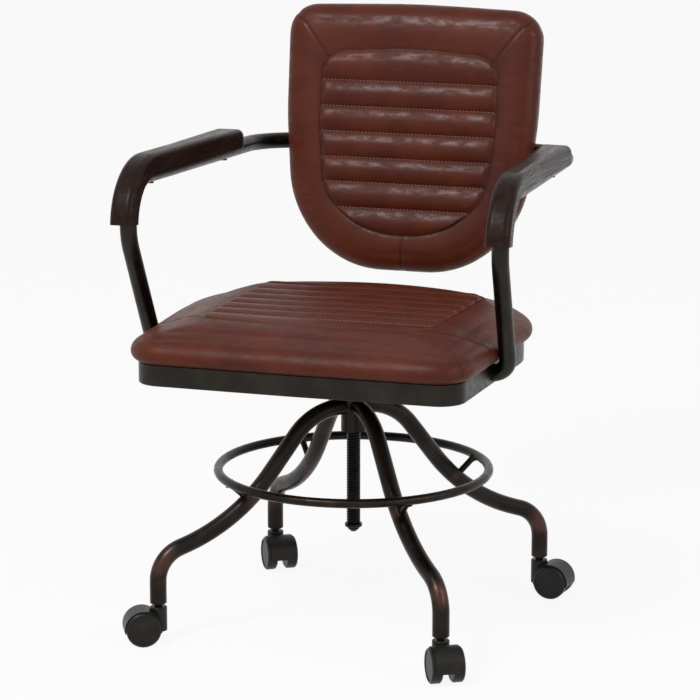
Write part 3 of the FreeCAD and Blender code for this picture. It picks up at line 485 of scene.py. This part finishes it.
def sewn_in(border, outward, lean, columns, rows):
    """Sinks columns of a border where pieces of leather meet: down on its flat, inwards on its wall.

    lean is each row's share of wall; a column sinks by SEAM_DEEP, and its neighbours by a quarter of it.
    """
    way = np.concatenate([-lean[:, None, None] * outward[None],
                          np.broadcast_to(lean[:, None, None] - 1, (*border.shape[:2], 1))], -1)
    for step, share in ((-1, 0.25), (0, 1.0), (1, 0.25)):
        near = (np.asarray(columns) + step) % border.shape[1]
        border[rows][:, near] += SEAM_DEEP * share * way[rows][:, near]


def ring_faces(ring_index):
    """Quads between rows of vertex numbers that each run round, and one face that closes the last row."""
    ahead = np.roll(ring_index, -1, 1)
    faces = np.stack([ring_index[:-1], ahead[:-1], ahead[1:], ring_index[1:]], -1).reshape(-1, 4)
    return faces.tolist() + [ring_index[-1].tolist()]


def swell(piece, held, pressure, cap):
    """Fills a closed leather shell with air by cloth simulation, its seams held, and keeps the shape.

    No point moves further than cap metres.
    """
    start = np.zeros(len(piece.data.vertices) * 3)
    piece.data.vertices.foreach_get("co", start)
    start = start.reshape(-1, 3)
    pins = piece.vertex_groups.new(name="seams")
    pins.add([int(i) for i in held], 1.0, "REPLACE")
    cloth = piece.modifiers.new("swell", "CLOTH")
    settings = cloth.settings
    settings.quality = 5
    settings.mass = 0.4
    settings.tension_stiffness = 30
    settings.compression_stiffness = 30
    settings.shear_stiffness = 12
    settings.bending_stiffness = 4
    settings.vertex_group_mass = "seams"
    settings.use_pressure = True
    settings.uniform_pressure_force = pressure
    settings.effector_weights.gravity = 0
    for step in range(1, 21):
        bpy.context.scene.frame_set(step)
    shown = piece.evaluated_get(bpy.context.evaluated_depsgraph_get())
    end = np.zeros_like(start).ravel()
    shown.data.vertices.foreach_get("co", end)
    move = end.reshape(-1, 3) - start
    far = np.linalg.norm(move, axis=1, keepdims=True)
    move *= np.minimum(1, cap / np.maximum(far, 1e-9))
    piece.modifiers.remove(cloth)
    piece.vertex_groups.remove(pins)
    bpy.context.scene.frame_set(1)
    return start + move


def clear_of_posts(points):
    """Presses the seat's sides in round the arm frame's posts: a point too near to a post's axis moves
    straight out from it to the post's radius and POST_PRESS."""
    for side in (1, -1):
        top, foot = (np.array((side * x, y - SEAT_AHEAD, z)) * MM for x, y, z in (POST_TOP, POST_FOOT))
        way = (top - foot) / np.linalg.norm(top - foot)
        off = points - foot - ((points - foot) @ way)[:, None] * way
        gap = np.linalg.norm(off, axis=1, keepdims=True)
        limit = (POST_ROUND + POST_PRESS) * MM
        points = points + off * np.maximum(0, limit / np.maximum(gap, MM) - 1)
    return points


def finished(piece, points, seam_points):
    """Puts a cushion's final points in place, stores how far each is from a seam, and smooths it once."""
    piece.data.vertices.foreach_set("co", points.ravel())
    gap = np.sum(points ** 2, 1)[:, None] + np.sum(seam_points ** 2, 1) - 2 * points @ seam_points.T
    gap = np.sqrt(np.maximum(np.min(gap, 1), 0)).astype(np.float32)
    piece.data.attributes.new("gap", "FLOAT", "POINT").data.foreach_set("value", gap)
    smooth = piece.modifiers.new("smooth", "SUBSURF")
    smooth.levels = smooth.render_levels = 1


def waxed_leather(name, shine):
    """Waxed pull-up cow leather, red-brown: smooth fine grain, faintly cloudy, with a broken shine where the
    wax is rubbed, painted shade darkening the seams' valleys, and fine puckers across them. The gap attribute
    is the way to a seam, and shine the roughness where the wax is rubbed."""
    finish, out = new_finish(name)
    place = add(finish, "TexCoord", {}).outputs["Object"]
    gap = add(finish, "Attribute", {"attribute_name": "gap"}).outputs["Fac"]
    cloud = grains(finish, place, 60 * MM, detail=3.0)
    rubbed = grains(finish, place, 9 * MM, stretch=(2.4, 1, 1), detail=5.0, roughness=0.62)
    pucker = grains(finish, place, 4.5 * MM, stretch=(1, 5, 5), detail=2.0)
    pores = grains(finish, place, 1.3 * MM, detail=2.0)
    base = mixed(finish, between(finish, cloud, 0.3, 0.7), linear("#461a0e"), linear("#552312"))
    colour = mixed(finish, between(finish, rubbed, 0.5, 0.75, 0.0, 0.4), base, linear("#69301f"))
    # Painted shade: the colour goes to near black within 1.9 mm of a seam, where the seam's valley is shaded.
    colour = mixed(finish, between(finish, gap, 0.3 * MM, 1.9 * MM, 0.75, 0.0), colour, linear("#1c0a06"))
    gloss = between(finish, rubbed, 0.38, 0.62, 0.5, shine)
    near = between(finish, gap, 2 * MM, 12 * MM, 0.8, 0.1)
    height = maths(finish, "ADD", maths(finish, "MULTIPLY", pucker, near),
                   maths(finish, "MULTIPLY", pores, 0.1))
    bump = add(finish, "Bump", {"Strength": 0.55, "Distance": 1.0 * MM, "Height": height})
    shader = add(finish, "BsdfPrincipled", {"Base Color": colour, "Roughness": gloss,
                                            "Specular IOR Level": 0.18, "Normal": bump.outputs[0]})
    finish.node_tree.links.new(shader.outputs[0], out.inputs[0])
    return finish


def stitches(name, seams, out, finish):
    """Rows of stitches: each a six-sided bead along its seam line, its ring radii 0.3, 1, 1 and 0.3 of half
    the thread's width, lifted out of the seam along out."""
    turn = np.linspace(0, 2 * np.pi, 6, endpoint=False)[None, None, :, None]
    reach = (np.array((-0.5, -0.3, 0.3, 0.5)) * STITCH_LONG * MM)[None, :, None, None]
    wide = (np.array((0.3, 1, 1, 0.3)) * STITCH_WIDE / 2 * MM)[None, :, None, None]
    beads = []
    for seam in seams:
        length = np.concatenate([[0], np.cumsum(np.linalg.norm(np.diff(seam, axis=0), axis=1))])
        where = np.arange(STITCH_PITCH * MM, length[-1] - STITCH_PITCH * MM, STITCH_PITCH * MM)[:, None]
        ends = where + np.array((-0.5, 0.5)) * STITCH_LONG * MM
        ends = np.stack([np.interp(ends, length, seam[:, i]) for i in range(3)], -1)
        centre = ends.mean(1)[:, None, None]
        along = (ends[:, 1] - ends[:, 0])[:, None, None]
        along = along / np.linalg.norm(along, axis=-1, keepdims=True)
        aside = np.cross(along, out)
        up = np.cross(aside, along)
        spoke = aside * np.cos(turn) + up * np.sin(turn)
        beads.append(centre + up * STITCH_LIFT * MM + along * reach + spoke * wide)
    beads = np.concatenate(beads)
    first = 24 * np.arange(len(beads))[:, None, None]
    faces = (first + np.array(quads(4, 6))).reshape(-1, 4).tolist()
    faces += (first + np.array((np.arange(6), np.arange(18, 24)))).reshape(-1, 6).tolist()
    return new_piece(name, beads, faces, finish, "seat", "leather")


panel_trace, seat_trace = trace(PANEL_HALF), trace(SEAT_HALF)
panel_corner, panel_end = (length_at(panel_trace, *corner) for corner in PANEL_CORNERS)
panel, panel_share, panel_around = panel_grid(panel_trace, (panel_corner, panel_end), SEAT_SEAMS, 9, 59)
panel_rise = np.interp(panel[..., 1], PANEL_ENDS, PANEL_RISE)
rim = rim_of(panel)
outer, outward = walk(seat_trace, matched(panel_trace, seat_trace, panel_corner,
                                          length_at(seat_trace, *SEAT_CORNER), panel_around))
crown_part = np.linspace(0, 1, 5)[1:]
crown_levels = np.stack([CROWN_EDGE + (WALL_EDGE - CROWN_EDGE) * crown_part,
                         SEAT_CROWN - (SEAT_CROWN - WALL_TOP) * crown_part ** 1.4], -1)
swing = np.radians(np.linspace(0, 90, 8)[1:])
upper = np.stack([WALL_EDGE + (SEAT_BULGE - WALL_EDGE) * np.sin(swing),
                  WALL_WIDEST + (WALL_TOP - WALL_WIDEST) * np.cos(swing)], -1)
lower = np.stack([SEAT_TUCK + (SEAT_BULGE - SEAT_TUCK) * np.cos(swing),
                  WALL_WIDEST + (BAND_TOP - WALL_WIDEST) * np.sin(swing)], -1)
seat_levels = np.concatenate([crown_levels, upper, lower])
border = border_rows(panel.reshape(-1, 2)[rim], outer, outward, seat_levels, FLAT_ROWS, CROWN_EDGE, SEAT_CROWN,
                     SEAT_ARCH, panel_rise.ravel()[rim])
lean = np.concatenate([np.zeros(FLAT_ROWS - 1), 0.2 * crown_part, np.sin(swing), np.ones(len(lower))])
wall_rows = slice(FLAT_ROWS - 1 + len(crown_levels), None)
mitres = [0, panel.shape[1] - 1]
wall_seams = [int(np.argmin(np.hypot(outer[:, 0] - side * WALL_SEAM[0], outer[:, 1] - WALL_SEAM[1])))
              for side in (1, -1)]
sewn_in(border, outward, lean, mitres, slice(0, None))
sewn_in(border, outward, lean, wall_seams, wall_rows)
panel_points = rolls(panel, panel_share, SEAT_PUFF)
panel_points[..., 2] += panel_rise + SEAT_CROWN - 1
seat_points = np.concatenate([panel_points.reshape(-1, 3), border.reshape(-1, 3)])
off = (np.stack([np.abs(seat_points[:, 0]), seat_points[:, 1]], -1) - DIP_PLACE) / DIP_REACH
dip = SIDE_DIP * np.exp(-np.sum(off ** 2, 1))
seat_points[:, 2] -= dip * np.maximum(0, seat_points[:, 2] - WALL_WIDEST)
border_index = panel[..., 0].size + np.arange(border[..., 0].size).reshape(border.shape[:2])
ring_index = np.vstack([rim, border_index])
seat_points = clear_of_posts((seat_points - (0, SEAT_AHEAD, 0)) * MM)
seat_leather = waxed_leather("waxed_leather_seat", SEAT_SHINE)
seat = new_piece("seat_cushion_leather", seat_points, quads(*panel.shape[:2], around=False)
                 + ring_faces(ring_index), seat_leather, "seat", "leather")
seam_rows = np.arange(panel[..., 0].size).reshape(panel.shape[:2])[np.flatnonzero(panel_share == 0)[1:]]
seam_index = np.concatenate([seam_rows.ravel(), rim, border_index[:, mitres].ravel(),
                             border_index[wall_rows, wall_seams].ravel()])
held = np.concatenate([seam_index, ring_index[-2:].ravel()])
seat_points = clear_of_posts(swell(seat, held, SEAT_PRESSURE, SEAT_SWELL))
finished(seat, seat_points, seat_points[seam_index])
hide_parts("seat_cushion")

# Thread. Bonded polyester a shade lighter than the leather, one lockstitch row in each channel's seam. Real
# stitches are 0.6 mm thick; these are 1.1 mm, so that they show.
thread, thread_out = new_finish("bonded_polyester_thread")
thread_place = add(thread, "TexCoord", {}).outputs["Object"]
thread_twist = grains(thread, thread_place, 0.8 * MM, detail=1.0)
thread_colour = mixed(thread, thread_twist, linear("#8a5947"), linear("#a4765f"))
thread_shader = add(thread, "BsdfPrincipled", {"Base Color": thread_colour, "Roughness": 0.6,
                                               "Specular IOR Level": 0.3})
thread.node_tree.links.new(thread_shader.outputs[0], thread_out.inputs[0])
stitches("seat_stitches", seat_points[seam_rows], np.array((0.0, 0.0, 1.0)), thread)

# Back. Foam on a plywood shell, covered front and rear in the same leather: a border with mitred corners
# round a channelled inlay. It leans by 9.6 degrees; its own plane has x across, up along it and out to the
# sitter.
BACK_TILT = np.radians(9.6)
BACK_FOOT = np.array((0.0, 212.47, 524.5))
BACK_HALF = [(0, 347, 1500), (196.6, 341, 44), (194.1, 175, 600), (180.7, 39.5, 160), (102.5, -53, 146)]
INLAY_HALF = [(0, 280.5, 700), (136, 270, 34), (137.8, 165, 300), (126, 61, 76), (65, 0, 140)]
BACK_SEAMS = (229, 190, 152, 114, 77, 39)
INLAY_CORNERS = ((127, 262), (62, 5))
BACK_CORNER = (184, 328)
BACK_THICK = 36.0
BACK_PUFF = 6.0
BACK_ARCH = 2.0
BACK_INSET = 26.0
BACK_TUCK = 2.0
BACK_SHINE = 0.3
BACK_PRESSURE, BACK_SWELL = 2.0, 3 * MM


def on_back(points):
    """From the back's own plane (x, up, out) to the chair: turned about x by the tilt, moved to its foot."""
    x, up, out = points[:, 0], points[:, 1], points[:, 2]
    turned = np.stack([x, up * np.sin(BACK_TILT) - out * np.cos(BACK_TILT),
                       up * np.cos(BACK_TILT) + out * np.sin(BACK_TILT)], -1)
    return (turned + BACK_FOOT) * MM


inlay_trace, back_trace = trace(INLAY_HALF), trace(BACK_HALF)
inlay_corner, inlay_end = (length_at(inlay_trace, *corner) for corner in INLAY_CORNERS)
inlay, inlay_share, inlay_around = panel_grid(inlay_trace, (inlay_corner, inlay_end), BACK_SEAMS, 10, 53)
inlay_rim = rim_of(inlay)
outer, outward = walk(back_trace, matched(inlay_trace, back_trace, inlay_corner,
                                          length_at(back_trace, *BACK_CORNER), inlay_around))
swing = np.radians(np.linspace(0, 90, 9)[1:])
middle = -BACK_THICK * 0.6
front_roll = np.stack([-BACK_INSET + BACK_INSET * np.sin(swing), middle - middle * np.cos(swing)], -1)
rear_roll = np.stack([BACK_TUCK * (np.cos(swing) - 1), middle + (-BACK_THICK - middle) * np.sin(swing)], -1)
border = border_rows(inlay.reshape(-1, 2)[inlay_rim], outer, outward, np.concatenate([front_roll, rear_roll]),
                     FLAT_ROWS + 1, -BACK_INSET, 0.0, BACK_ARCH)
lean = np.concatenate([np.zeros(FLAT_ROWS), np.sin(swing), np.ones(len(rear_roll))])
front_rows = slice(0, FLAT_ROWS + len(front_roll))
joins = [0, inlay.shape[1] - 1, sum(inlay.shape[:2]) - 2 + inlay.shape[1] // 2]
sewn_in(border, outward, lean, joins, front_rows)
back_points = np.concatenate([rolls(inlay, inlay_share, BACK_PUFF).reshape(-1, 3) - (0, 0, 1),
                              border.reshape(-1, 3)])
border_index = inlay[..., 0].size + np.arange(border[..., 0].size).reshape(border.shape[:2])
ring_index = np.vstack([inlay_rim, border_index])
back_points = on_back(back_points)
back_leather = waxed_leather("waxed_leather_back", BACK_SHINE)
back = new_piece("back_cushion_leather", back_points, quads(*inlay.shape[:2], around=False)
                 + ring_faces(ring_index), back_leather, "seat", "leather")
seam_rows = np.arange(inlay[..., 0].size).reshape(inlay.shape[:2])[np.flatnonzero(inlay_share == 0)[1:]]
seam_index = np.concatenate([seam_rows.ravel(), inlay_rim, border_index[front_rows, joins].ravel()])
held = np.concatenate([seam_index, ring_index[-2:].ravel()])
back_points = swell(back, held, BACK_PRESSURE, BACK_SWELL)
finished(back, back_points, back_points[seam_index])
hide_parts("back_cushion")
back_out = np.array((0.0, -np.cos(BACK_TILT), np.sin(BACK_TILT)))
stitches("back_stitches", back_points[seam_rows], back_out, thread)
coat(["back_board"], back_leather)

# Arm frame. One tube bent round behind the back and down to the band on each side, held by a bolt in each
# end; saddles and bolts carry the back on it.
coat(["arm_frame", "back_saddles"], band_bronze)
coat(["back_bolts", "arm_bolts", "arm_end_nuts", "armrest_screws"], black_steel)

# Armrests. Beech, sawn to the rail's line and rounded over, stained dark walnut and lacquered satin:
# long dark pores under a soft reflection.
wood_finish, wood_out = new_finish("stained_beech_satin_lacquer")
wood_place = add(wood_finish, "TexCoord", {}).outputs["Object"]
wood_grain = grains(wood_finish, wood_place, 2.4 * MM, stretch=(1, 30, 1), detail=5.0, roughness=0.65)
wood_band = grains(wood_finish, wood_place, 9 * MM, stretch=(1, 14, 1), detail=4.0)
wood_base = mixed(wood_finish, between(wood_finish, wood_band, 0.3, 0.7), linear("#1b0f0c"),
                  linear("#2d1a15"))
wood_colour = mixed(wood_finish, between(wood_finish, wood_grain, 0.5, 0.68, 0.0, 0.8), wood_base,
                    linear("#100806"))
wood_gloss = between(wood_finish, wood_grain, 0.35, 0.65, 0.26, 0.42)
wood_bump = add(wood_finish, "Bump", {"Strength": 0.35, "Distance": 0.3 * MM, "Height": wood_grain})
wood_shader = add(wood_finish, "BsdfPrincipled", {"Base Color": wood_colour, "Roughness": wood_gloss,
                                                  "Specular IOR Level": 0.1, "Normal": wood_bump.outputs[0]})
wood_finish.node_tree.links.new(wood_shader.outputs[0], wood_out.inputs[0])
coat(["armrest_left", "armrest_right"], wood_finish)

# Casters. Twin wheels under a hood, moulded in black nylon: satin, with the faint mottle of the mould. The
# stem and the axle are bright-worn steel.
nylon, nylon_out = new_finish("moulded_black_nylon")
nylon_place = add(nylon, "TexCoord", {}).outputs["Object"]
nylon_mottle = grains(nylon, nylon_place, 1.5 * MM, detail=3.0)
nylon_cloud = grains(nylon, nylon_place, 20 * MM)
nylon_colour = mixed(nylon, between(nylon, nylon_cloud, 0.35, 0.7), linear("#161412"), linear("#1f1d1a"))
nylon_bump = add(nylon, "Bump", {"Strength": 0.15, "Distance": 0.2 * MM, "Height": nylon_mottle})
nylon_shader = add(nylon, "BsdfPrincipled", {"Base Color": nylon_colour, "Roughness": 0.4,
                                             "Specular IOR Level": 0.22, "Normal": nylon_bump.outputs[0]})
nylon.node_tree.links.new(nylon_shader.outputs[0], nylon_out.inputs[0])
for name in LEG_NAMES:
    coat(["caster_hood_" + name, "wheel_left_" + name, "wheel_right_" + name], nylon)
    coat(["caster_stem_" + name, "caster_axle_" + name, "caster_socket_" + name], black_steel)

# Studio. A pale floor and a white surround. What the camera, a gloss or a glass sees of them is white; the
# floor keeps the chair's shadow.
FLOOR_HALF = 30.0
FLOOR_GLOW = 0.9
AMBIENT = 0.45


def seen_white(finish):
    """1 for a ray by which the camera, a gloss or a glass sees the surround, and 0 for one that lights."""
    rays = add(finish, "LightPath", {}).outputs
    bent = maths(finish, "MAXIMUM", rays["Is Glossy Ray"], rays["Is Transmission Ray"])
    return maths(finish, "MAXIMUM", rays["Is Camera Ray"], bent)


floor_finish, floor_out = new_finish("white_floor")
floor_share = maths(floor_finish, "MULTIPLY", seen_white(floor_finish), FLOOR_GLOW)
floor_diffuse = add(floor_finish, "BsdfDiffuse", {"Color": linear("#f4f4f4")})
floor_glow = add(floor_finish, "Emission", {"Color": (1, 1, 1, 1), "Strength": 1.0})
floor_mix = add(floor_finish, "MixShader", {0: floor_share, 1: floor_diffuse.outputs[0],
                                            2: floor_glow.outputs[0]})
floor_finish.node_tree.links.new(floor_mix.outputs[0], floor_out.inputs[0])
floor_mesh = bpy.data.meshes.new("floor")
floor_mesh.from_pydata([(-FLOOR_HALF, -FLOOR_HALF, 0), (FLOOR_HALF, -FLOOR_HALF, 0),
                        (FLOOR_HALF, FLOOR_HALF, 0), (-FLOOR_HALF, FLOOR_HALF, 0)], [], [(0, 1, 2, 3)])
floor_mesh.materials.append(floor_finish)
floor = bpy.data.objects.new("floor", floor_mesh)
bpy.context.scene.collection.objects.link(floor)

world = bpy.data.worlds.new("studio")
bpy.context.scene.world = world
world.use_nodes = True
surround = world.node_tree.nodes["Background"]
level = add(world, "MapRange", {"Value": seen_white(world), "To Min": AMBIENT, "To Max": 1.0})
surround.inputs["Color"].default_value = (1, 1, 1, 1)
world.node_tree.links.new(level.outputs[0], surround.inputs["Strength"])


def softbox(name, place, aim, wide, power):
    """A square studio lamp at place, turned to aim."""
    lamp = bpy.data.lights.new(name, "AREA")
    lamp.size = wide
    lamp.energy = power
    box = bpy.data.objects.new(name, lamp)
    bpy.context.scene.collection.objects.link(box)
    box.location = place
    box.rotation_euler = (Vector(aim) - Vector(place)).to_track_quat("-Z", "Y").to_euler()


softbox("key", (-0.75, -2.2, 2.7), (0, 0, 0.45), 0.8, 50)
softbox("fill", (2.4, -0.9, 1.6), (0, 0, 0.45), 1.2, 16)

camera_lens = bpy.data.cameras.new("camera")
camera_lens.lens = 170.03
camera_lens.sensor_width = 36
camera_lens.clip_end = 100
camera = bpy.data.objects.new("camera", camera_lens)
bpy.context.scene.collection.objects.link(camera)
camera.location = (1.3847, -4.4460, 1.4360)
camera.rotation_euler = (np.pi / 2 - 0.2199, 0, 0.3046)
bpy.context.scene.camera = camera
bpy.context.scene.view_settings.view_transform = "Standard"
